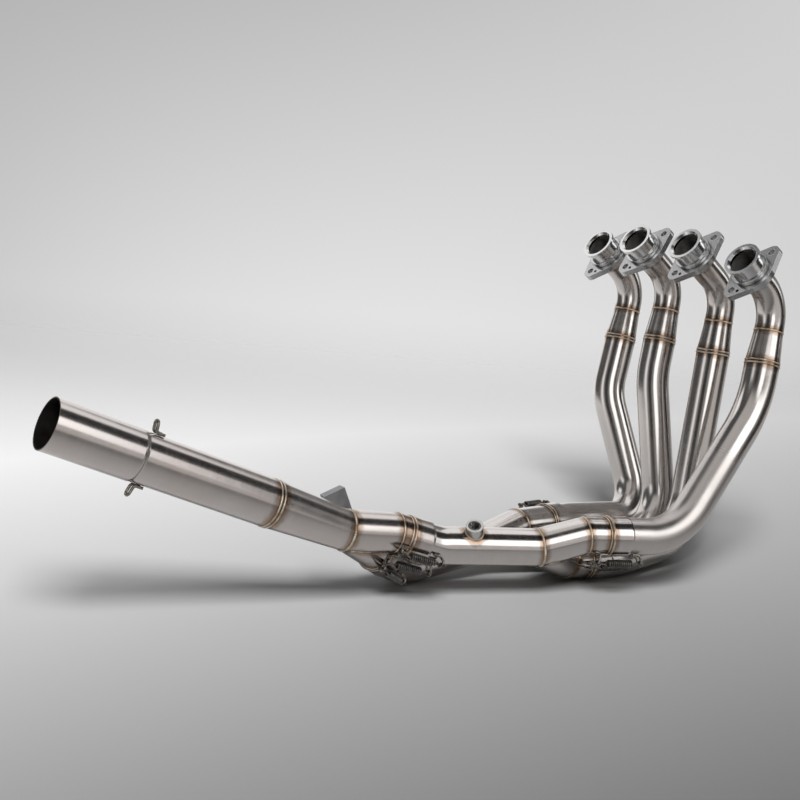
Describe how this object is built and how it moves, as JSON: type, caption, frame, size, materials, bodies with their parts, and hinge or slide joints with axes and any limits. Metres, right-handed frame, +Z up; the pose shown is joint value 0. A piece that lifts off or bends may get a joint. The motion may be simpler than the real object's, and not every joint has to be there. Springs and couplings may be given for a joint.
{
  "type": "motorcycle exhaust header",
  "caption": "Stainless exhaust header for an inline engine: bent port pipes slip into paired collectors, then a rear collector and a link pipe for the silencer.",
  "frame": {"origin": "centre of the bounding box's bottom face, on the floor the header rests on", "axes": "+X forward, away from the outlet; +Y to the rider's left, towards port one; +Z up"},
  "size_m": [0.9006, 0.343, 0.4191],
  "materials": {
    "tube": "satin",
    "link": "satin",
    "turned": "polished",
    "flange": "polished",
    "wire": "satin",
    "sheet": "matt"
  },
  "bodies": {
    "root": {"header_pipe_1": "tube", "header_pipe_2": "tube", "header_pipe_3": "tube", "header_pipe_4": "tube", "port_spigot_1": "turned", "port_spigot_2": "turned", "port_spigot_3": "turned", "port_spigot_4": "turned", "port_flange_1": "flange", "port_flange_2": "flange", "port_flange_3": "flange", "port_flange_4": "flange", "near_collector": "tube", "far_collector": "tube", "link_pipe": "link", "sensor_boss": "turned", "hanger_bracket": "sheet", "near_upper_spring": "wire", "near_lower_spring": "wire", "far_upper_spring": "wire", "far_lower_spring": "wire", "rear_upper_spring": "wire", "rear_lower_spring": "wire", "rear_outer_spring": "wire", "header_hooks": "wire", "near_collector_hooks": "wire", "far_collector_hooks": "wire", "link_pipe_hooks": "wire"}
  },
  "joints": []
}
